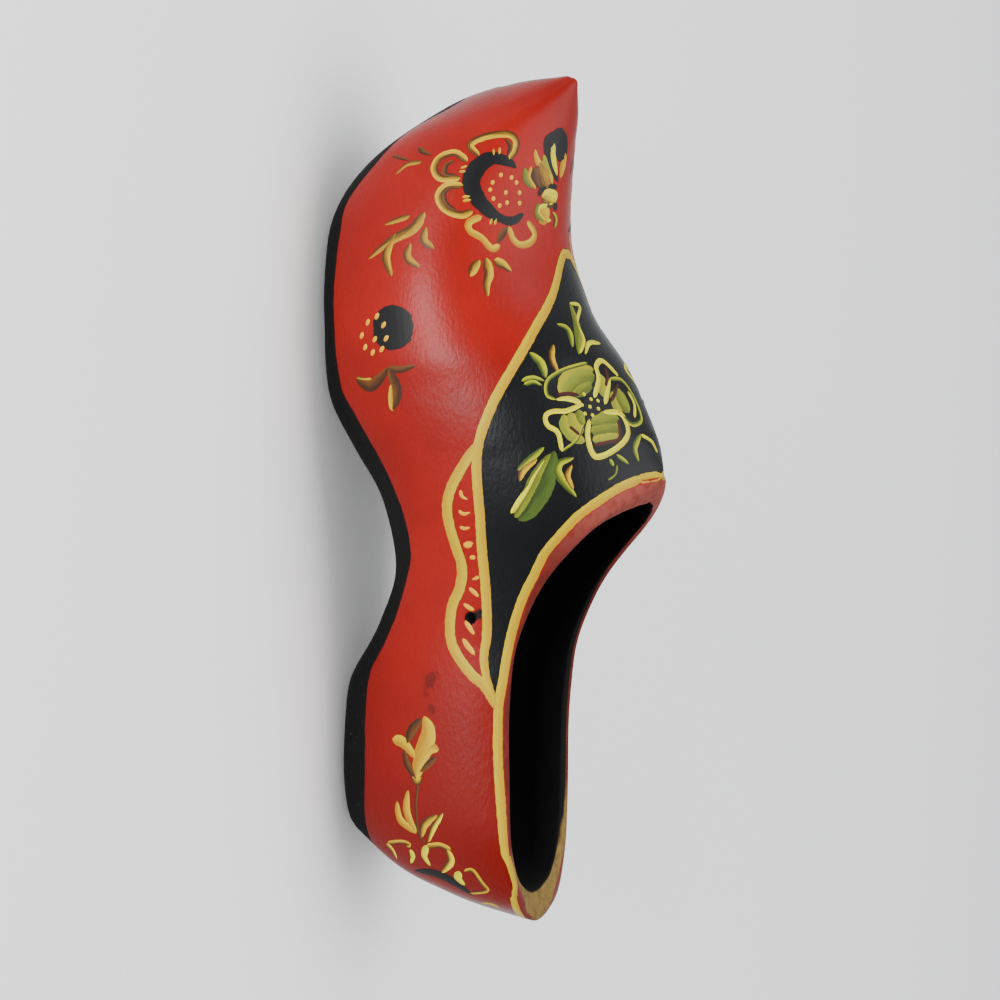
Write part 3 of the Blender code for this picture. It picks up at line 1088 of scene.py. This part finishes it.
# %% Brush the instep flower
INSTEP_FILLS = [
    ("dab", "mustard", 4.8, [(1012, 408), (1036, 352), (1090, 318), (1146, 310)]),
    ("dab", "olive", 6.2, [(1034, 412), (1068, 368), (1110, 346), (1150, 334)]),
    ("dab", "olive", 5.2, [(1066, 416), (1100, 386), (1140, 368)]),
    ("dab", "mustard", 4.4, [(1028, 492), (1036, 540), (1068, 580), (1112, 602)]),
    ("dab", "mustard", 5.6, [(1054, 486), (1068, 530), (1102, 570)]),
    ("dab", "olive", 3.8, [(1088, 474), (1096, 514), (1112, 532)]),
    ("dab", "olive", 6.0, [(1138, 530), (1197, 514), (1250, 512)]),
    ("dab", "olive", 6.0, [(1138, 562), (1197, 547), (1256, 546)]),
    ("dab", "mustard", 4.4, [(1144, 596), (1197, 584), (1250, 578)]),
    ("dab", "mustard", 4.8, [(1174, 330), (1182, 380), (1194, 426)]),
    ("dab", "olive", 6.0, [(1236, 384), (1258, 434), (1290, 486)]),
    ("dab", "mustard", 3.8, [(1222, 400), (1236, 450), (1262, 494)]),
]
INSTEP_LINES = [
    (
        "line", "yellow", 1.9,
        [(1130, 512), (1124, 585), (1156, 662), (1240, 628), (1286, 568), (1258, 492), (1185, 482)],
    ),
    ("comma", "yellow", 2.0, [(1098, 446), (1050, 430), (996, 432)]),
    ("line", "leaf", 1.3, [(996, 432), (960, 412), (965, 355), (1030, 312), (1122, 286)]),
    (
        "line", "yellow", 1.6,
        [(1104, 450), (1040, 478), (985, 480), (955, 498), (962, 536), (1004, 566), (1020, 640)],
    ),
    ("line", "leaf", 0.9, [(1020, 642), (1082, 592), (1108, 530)]),
    ("line", "yellow", 1.9, [(1150, 425), (1168, 350), (1158, 300), (1184, 278), (1246, 338)]),
    ("comma", "yellow", 1.9, [(1192, 452), (1204, 400), (1214, 348)]),
    ("line", "leaf", 1.6, [(1212, 350), (1262, 358), (1308, 425), (1338, 510), (1300, 532), (1245, 478)]),
    ("line", "yellow", 1.3, [(1285, 400), (1310, 450), (1312, 505)]),
    ("line", "maroon", 1.2, [(1002, 414), (1045, 408), (1090, 416)]),
    ("line", "maroon", 1.4, [(1192, 305), (1202, 345), (1196, 380)]),
    ("line", "maroon", 1.4, [(1242, 368), (1232, 410), (1216, 440)]),
    ("line", "maroon", 1.4, [(1148, 616), (1200, 606), (1252, 588), (1246, 512)]),
    ("line", "maroon", 1.0, [(1050, 540), (1094, 576)]),
    ("dab", "black", 5.5, [(1105, 430), (1140, 458), (1172, 486)]),
]
INSTEP_EYES = dots(
    "yellow",
    1.2,
    [(1108, 412), (1136, 432), (1164, 438), (1100, 455), (1132, 462), (1166, 470), (1112, 490), (1142, 496)],
)
INSTEP_LEAVES = [
    ("leaf", "olive", 3.6, [(1052, 40), (1080, 130), (1088, 250)]),
    ("line", "yellow", 1.3, [(1050, 46), (1092, 58), (1082, 120), (1108, 190), (1092, 246)]),
    ("leaf", "leaf", 2.6, [(1000, 130), (1046, 152), (1062, 222)]),
    ("comma", "yellow", 1.8, [(1174, 206), (1130, 206), (1114, 250)]),
    ("leaf", "shaded", 2.4, [(986, 212), (980, 265), (1004, 326)]),
    ("leaf", "leaf", 3.0, [(890, 244), (935, 285), (955, 345)]),
    ("comma", "leaf", 1.8, [(858, 358), (905, 346), (950, 358)]),
    ("comma", "leaf", 1.6, [(868, 372), (905, 362), (940, 376)]),
    ("leaf", "moss", 7.0, [(990, 640), (966, 724), (934, 806), (886, 886), (846, 916)]),
    ("leaf", "olive", 5.0, [(974, 652), (932, 724), (896, 800), (852, 878), (832, 906)]),
    ("comma", "yellow", 2.4, [(816, 890), (880, 803), (912, 740), (950, 676)]),
    ("leaf", "leaf", 2.4, [(948, 624), (880, 684), (842, 716)]),
    ("leaf", "shaded", 2.6, [(920, 672), (868, 712), (850, 760)]),
    ("leaf", "leaf", 2.8, [(1068, 666), (1012, 690), (1010, 740), (1078, 824)]),
    ("leaf", "shaded", 2.2, [(1060, 695), (1042, 740), (1066, 795)]),
    ("dab", "leaf", 1.6, [(1240, 655), (1262, 672), (1288, 692)]),
    ("dab", "leaf", 1.5, [(1212, 672), (1228, 700)]),
    ("line", "olive", 0.8, [(1242, 695), (1236, 732), (1206, 756)]),
    ("leaf", "leaf", 2.4, [(1336, 572), (1314, 625), (1328, 682)]),
    ("line", "yellow", 1.3, [(1338, 574), (1378, 598), (1404, 645)]),
]
brush_sheet("instep_fills", BALL_SHEET, INSTEP_FILLS)
brush_sheet("instep_leaves", BALL_SHEET, INSTEP_LEAVES)
brush_sheet("instep_lines", BALL_SHEET, INSTEP_LINES, 1)
brush_sheet("instep_eyes", BALL_SHEET, INSTEP_EYES, 3)

# %% [markdown]
# Cream beads fill the band beside the panel: short commas at its upper end, and dabs that
# grow toward the lower end. The far side has the same band, so its beads are mirrored.

# %% Brush the beads
WAIST_SHEET = Sheet(NEAR_EYE, (480, 540))
BEADS = [
    ("comma", "cream", 1.2, [(612, 796), (620, 822), (642, 834)]),
    ("comma", "cream", 1.2, [(606, 878), (625, 892), (652, 886)]),
    ("comma", "cream", 1.2, [(610, 944), (630, 950), (652, 946)]),
    ("comma", "cream", 1.3, [(626, 1010), (640, 1022), (660, 1020)]),
]
BEADS_LOW = [
    ("dab", "cream", 1.4, [(626, 52), (644, 46), (664, 46)]),
    ("dab", "cream", 1.5, [(650, 102), (674, 102)]),
    ("comma", "cream", 1.1, [(688, 178), (674, 186), (660, 190)]),
    ("dab", "cream", 1.4, [(648, 224), (668, 242), (686, 260)]),
    ("dab", "cream", 1.4, [(626, 288), (648, 304), (668, 314)]),
    ("dab", "cream", 1.6, [(632, 356), (650, 385), (668, 412)]),
    ("dab", "cream", 1.8, [(622, 428), (646, 462), (670, 494)]),
]
brush_sheet("beads_high", BALL_SHEET, BEADS, 1, mirrored=True)
brush_sheet("beads_low", WAIST_SHEET, BEADS_LOW, 1, mirrored=True)

# %% [markdown]
# The heel carries a tulip bud on a thin stem, over the upper half of another flower that
# runs out toward the sole.

# %% Brush the heel bud
HEEL_SHEET = Sheet(NEAR_EYE, (480, 680))
HEEL_BUD = [
    ("leaf", "ochre", 6.0, [(468, 178), (484, 250), (452, 350), (436, 428)]),
    ("leaf", "brown", 3.6, [(458, 188), (420, 232), (398, 286)]),
    ("comma", "ochre", 3.8, [(340, 270), (385, 284), (430, 345)]),
    ("comma", "ochre", 3.4, [(526, 312), (488, 312), (446, 380)]),
    ("leaf", "brown", 2.6, [(516, 340), (486, 368), (448, 402)]),
    ("leaf", "brown", 2.6, [(386, 310), (400, 370), (436, 432)]),
    ("dab", "shaded", 2.6, [(420, 420), (440, 440), (456, 424)]),
    ("line", "brown", 1.0, [(442, 450), (434, 540), (444, 640), (472, 690)]),
    ("leaf", "ochre", 2.8, [(402, 476), (398, 560), (436, 644)]),
    ("leaf", "ochre", 2.8, [(358, 520), (372, 592), (436, 648)]),
    ("leaf", "shaded", 2.8, [(518, 574), (470, 612), (456, 664)]),
    ("leaf", "yellow_brown", 2.2, [(542, 568), (505, 625), (484, 682)]),
    ("comma", "yellow_brown", 2.0, [(316, 690), (340, 715), (358, 750)]),
    ("line", "shaded", 1.5, [(322, 686), (375, 682), (408, 692), (396, 700)]),
    ("comma", "yellow", 1.8, [(412, 712), (422, 740), (414, 768)]),
    ("comma", "yellow", 2.4, [(480, 696), (468, 738), (492, 778)]),
    ("line", "shaded", 2.0, [(478, 700), (530, 696), (574, 716)]),
    ("leaf", "yellow_brown", 2.8, [(560, 712), (574, 760), (538, 806)]),
    ("comma", "yellow", 2.8, [(608, 800), (604, 830), (630, 856)]),
    ("line", "shaded", 1.5, [(628, 800), (662, 798), (700, 850), (718, 878), (650, 888)]),
    ("leaf", "ochre", 2.2, [(698, 928), (732, 932), (772, 946)]),
    ("leaf", "black", 3.6, [(428, 798), (500, 806), (580, 840), (662, 896)]),
]
brush_sheet("heel_bud", HEEL_SHEET, HEEL_BUD)

# %% [markdown]
# The far side follows the same plan in a freer hand. It is drawn on sheets of the second
# eye. Its toe flower is rounder, and a large yellow leaf curls up beside it.

# %% Brush the far side of the toe
FAR_TOE_SHEET = Sheet(FAR_EYE, (135, 70))
FAR_TOE_FLOWER = [
    ("line", "shaded", 2.2, [(660, 272), (612, 276), (580, 312), (582, 362)]),
    ("leaf", "shaded", 2.0, [(665, 290), (682, 312), (655, 356)]),
    ("line", "shaded", 2.2, [(846, 366), (800, 318), (758, 290), (712, 312), (700, 376)]),
    ("leaf", "brown", 1.8, [(716, 345), (750, 318), (792, 332)]),
    ("leaf", "yellow", 2.6, [(724, 410), (790, 385), (848, 366)]),
    (
        "line", "yellow_brown", 2.2,
        [(738, 466), (800, 418), (846, 410), (864, 460), (848, 512), (800, 536), (752, 530)],
    ),
    (
        "line", "ochre", 1.8,
        [(738, 596), (790, 572), (832, 580), (815, 642), (770, 692), (722, 710), (684, 650)],
    ),
    ("leaf", "yellow", 1.8, [(682, 640), (696, 668), (718, 692)]),
    (
        "line", "ochre", 2.0,
        [(578, 712), (574, 765), (560, 824), (622, 800), (686, 745), (660, 700), (630, 690)],
    ),
    ("line", "black", 2.6, [(575, 440), (596, 404), (640, 388), (684, 414)]),
    ("leaf", "black", 4.6, [(628, 388), (690, 418), (712, 490), (704, 562), (652, 636), (576, 702)]),
    ("leaf", "shaded", 5.0, [(502, 395), (506, 470), (526, 560)]),
    ("leaf", "brown", 3.4, [(546, 416), (550, 480), (530, 556)]),
    ("dab", "yellow", 2.6, [(514, 622), (546, 602)]),
    ("comma", "shaded", 1.8, [(954, 392), (1000, 374), (1036, 350)]),
    ("line", "shaded", 1.6, [(944, 455), (1005, 424), (1060, 436), (1106, 466)]),
    ("leaf", "yellow_brown", 2.6, [(950, 482), (988, 468), (1026, 474)]),
    (
        "leaf", "yellow_brown", 5.2,
        [(894, 580), (985, 585), (1036, 680), (1040, 780), (1080, 870), (1098, 932)],
    ),
    ("comma", "ochre", 2.6, [(1100, 900), (1070, 945), (1034, 986)]),
    ("leaf", "shaded", 2.2, [(1000, 572), (1040, 602), (1086, 612)]),
    ("leaf", "ochre", 2.4, [(1064, 712), (1110, 738), (1156, 736)]),
    ("leaf", "shaded", 3.2, [(918, 636), (910, 682), (884, 718)]),
    ("leaf", "shaded", 2.6, [(934, 774), (956, 830), (962, 892)]),
    ("leaf", "shaded", 1.8, [(694, 782), (688, 838)]),
    ("leaf", "yellow_brown", 3.4, [(738, 758), (714, 850), (736, 926)]),
    ("leaf", "shaded", 2.0, [(770, 744), (786, 798), (818, 832)]),
    ("leaf", "ochre", 1.6, [(700, 134), (790, 160), (882, 206)]),
] + dots(
    "cream",
    1.3,
    [
        (628, 468), (616, 486), (663, 490), (600, 500), (598, 522), (628, 541), (668, 546),
        (656, 578), (578, 584), (630, 605), (596, 616),
    ],
)
brush_sheet("far_toe_flower", FAR_TOE_SHEET, FAR_TOE_FLOWER)

# %% [markdown]
# The berry on the far side is bigger, with yellow dots, and a leaf trails below it in
# place of the twig.

# %% Brush the far berry
FAR_BALL_SHEET = Sheet(FAR_EYE, (130, 300))
FAR_BERRY = [
    ("dab", "black", 15.6, [(1108, 90), (1112, 190), (1110, 288)]),
    ("leaf", "shaded", 4.0, [(1164, 348), (1088, 400), (1096, 500), (1072, 580), (986, 636)]),
    ("leaf", "shaded", 3.0, [(1050, 395), (1012, 440), (964, 466)]),
    ("leaf", "shaded", 3.0, [(1152, 396), (1164, 450), (1182, 492)]),
]
FAR_BERRY_DOTS = dots(
    "yellow",
    2.3,
    [(1138, 90), (1180, 70), (1232, 80), (1132, 148), (1200, 140), (1264, 128), (1185, 208), (1247, 192)],
)
brush_sheet("far_berry", FAR_BALL_SHEET, FAR_BERRY)
brush_sheet("far_berry_dots", FAR_BALL_SHEET, FAR_BERRY_DOTS, 2)

# %% [markdown]
# The far half of the panel has an open flower with ochre petals. It is painted in the
# same order as the near one: fills, leaves, outlines, and dots on the heart.

# %% Brush the far instep flower
FAR_FILLS = [
    ("dab", "ochre", 6.0, [(355, 420), (372, 370), (392, 330)]),
    ("dab", "ochre", 7.5, [(390, 470), (440, 462), (492, 440)]),
    ("dab", "ochre", 9.0, [(340, 540), (372, 590), (395, 648)]),
    ("dab", "shaded", 6.5, [(300, 530), (268, 570), (250, 625)]),
    ("dab", "ochre", 5.0, [(300, 470), (272, 450), (262, 420)]),
]
FAR_LINES = [
    ("line", "yellow", 2.0, [(335, 436), (338, 345), (400, 312), (434, 330), (386, 424)]),
    ("line", "yellow", 1.9, [(376, 452), (460, 424), (488, 368), (512, 476), (470, 540), (396, 490)]),
    (
        "line", "yellow", 2.2,
        [(352, 520), (438, 560), (466, 590), (420, 650), (350, 682), (302, 642), (308, 556)],
    ),
    ("line", "leaf", 1.5, [(300, 520), (240, 530), (232, 600), (252, 642)]),
    ("line", "maroon", 1.3, [(400, 486), (438, 500), (480, 470)]),
    ("line", "maroon", 1.3, [(356, 540), (400, 578), (432, 580)]),
    ("dab", "black", 5.0, [(318, 462), (332, 484), (338, 512)]),
]
FAR_EYES = dots("yellow", 1.2, [(312, 462), (350, 440), (368, 470), (328, 490), (352, 520), (318, 516)])
FAR_LEAVES = [
    ("leaf", "shaded", 2.6, [(458, 84), (402, 180), (394, 292)]),
    ("leaf", "shaded", 3.6, [(492, 168), (456, 215), (434, 282)]),
    ("leaf", "leaf", 2.0, [(362, 240), (356, 304)]),
    ("leaf", "leaf", 3.2, [(524, 366), (560, 342), (602, 372)]),
    ("leaf", "shaded", 2.6, [(572, 384), (528, 428)]),
    ("leaf", "shaded", 5.2, [(466, 640), (540, 690), (548, 800), (524, 860), (590, 938)]),
    ("comma", "yellow", 2.4, [(474, 770), (490, 812), (520, 852)]),
    ("leaf", "leaf", 2.6, [(428, 680), (450, 722), (466, 762)]),
    ("leaf", "yellow", 2.6, [(514, 606), (560, 602), (600, 624)]),
    ("leaf", "ochre", 1.3, [(282, 724), (300, 768)]),
]
brush_sheet("far_fills", FAR_BALL_SHEET, FAR_FILLS)
brush_sheet("far_leaves", FAR_BALL_SHEET, FAR_LEAVES)
brush_sheet("far_lines", FAR_BALL_SHEET, FAR_LINES, 1)
brush_sheet("far_eyes", FAR_BALL_SHEET, FAR_EYES, 3)

# %% [markdown]
# A full tulip stands on the far side of the heel, over a spray of leaves and a dark curve
# with ochre dots.

# %% Brush the far heel
FAR_HEEL_SHEET = Sheet(FAR_EYE, (230, 680))
FAR_TULIP = [
    ("leaf", "yellow_brown", 3.4, [(648, 226), (652, 262), (700, 300)]),
    ("leaf", "brown", 3.0, [(696, 150), (676, 240), (724, 302)]),
    ("leaf", "yellow", 6.2, [(738, 112), (728, 210), (762, 308)]),
    ("leaf", "brown", 3.4, [(758, 124), (792, 186), (786, 244)]),
    ("leaf", "brown", 4.2, [(820, 148), (842, 222), (824, 304)]),
    ("leaf", "brown", 2.4, [(656, 272), (700, 312), (756, 318)]),
    ("leaf", "yellow", 2.2, [(836, 250), (826, 285), (806, 308)]),
    ("leaf", "shaded", 3.4, [(782, 314), (824, 420), (818, 544)]),
    ("leaf", "yellow_brown", 4.2, [(676, 432), (735, 478), (788, 546)]),
    ("leaf", "yellow_brown", 3.6, [(918, 440), (872, 452), (850, 522)]),
    ("line", "yellow_brown", 2.4, [(612, 788), (552, 760), (536, 700), (566, 652), (652, 634), (656, 690)]),
    ("leaf", "yellow", 3.2, [(668, 598), (722, 632), (752, 694)]),
    ("leaf", "shaded", 2.8, [(760, 612), (826, 602), (790, 694)]),
    ("leaf", "yellow", 3.0, [(868, 586), (832, 650), (812, 694)]),
    ("line", "ochre", 1.8, [(880, 600), (926, 642), (864, 712)]),
    ("leaf", "ochre", 3.2, [(976, 668), (930, 690), (896, 738)]),
    ("line", "yellow", 2.4, [(512, 792), (490, 842), (522, 890), (586, 880)]),
    ("leaf", "ochre", 2.2, [(516, 798), (560, 815), (584, 832)]),
    ("leaf", "black", 3.6, [(616, 866), (660, 782), (762, 742), (884, 760)]),
] + dots("ochre", 1.4, [(690, 830), (735, 800), (785, 795), (737, 828), (815, 795)])
brush_sheet("far_tulip", FAR_HEEL_SHEET, FAR_TULIP)

# %% [markdown]
# The clog stands on a pale table that runs on past the picture. A plain, slightly rough
# surface keeps the shadow soft and gives no reflection.

# %% Floor
FLOOR_REACH = 6.0
TABLE_ROUGHNESS = 0.7

bpy.ops.mesh.primitive_plane_add(size=FLOOR_REACH)
floor = bpy.context.active_object
floor.name = "floor"
# Matt white lacquer: an even pale ground that only the shadow marks.
pale = bpy.data.materials.new("pale_table")
pale.use_nodes = True
lacquer = pale.node_tree.nodes["Principled BSDF"]
lacquer.inputs["Base Color"].default_value = paint("#FAFAFA")
lacquer.inputs["Roughness"].default_value = TABLE_ROUGHNESS
floor.data.materials.append(pale)
print("the floor reaches", FLOOR_REACH, "m")

# %% [markdown]
# Most of the light comes from all round, as in a pale room. A broad light overhead adds
# the soft shadow, a small low window on the inner side puts the shine on the enamel, and
# a weak light from the toe end lifts the front.

# %% Lights
ROOM_STRENGTH = 0.82

Light = namedtuple("Light", "name place width height watts")
LIGHTS = [
    Light("window", (0.2, 1.3, 0.2), 0.45, 0.3, 22),
    Light("overhead", (0.1, -0.2, 2.0), 2.0, 2.0, 45),
    Light("toe end", (1.4, 0.5, 0.5), 0.9, 0.9, 4),
]
for light in LIGHTS:
    bpy.ops.object.light_add(type="AREA", location=light.place)
    lamp = bpy.context.active_object
    lamp.name = light.name
    lamp.data.shape = "RECTANGLE"
    lamp.data.size = light.width
    lamp.data.size_y = light.height
    lamp.data.energy = light.watts
    lamp.rotation_euler = (LOOK_AT - lamp.location).to_track_quat("-Z", "Y").to_euler()

room = bpy.data.worlds.new("soft_room")
room.use_nodes = True
air = room.node_tree.nodes["Background"]
air.inputs["Color"].default_value = paint("#F4F6F8")
air.inputs["Strength"].default_value = ROOM_STRENGTH
bpy.context.scene.world = room
print("lights:", [light.name for light in LIGHTS])

# %% [markdown]
# The camera stands in the near eye, with the toe up, and its lens is chosen so that the
# clog fills the picture from tip to heel.

# %% Camera
LENS = 107.5
SENSOR = 36

bpy.ops.object.camera_add()
camera = bpy.context.active_object
camera.data.lens = LENS
camera.data.sensor_width = SENSOR
back = -NEAR_EYE.forward
turn = Matrix((NEAR_EYE.right, TOE_UP, back)).transposed()
camera.matrix_world = Matrix.Translation(NEAR_EYE.place) @ turn.to_4x4()
bpy.context.scene.camera = camera
print("camera lens", LENS, "mm, looking at", [round(v, 3) for v in LOOK_AT])
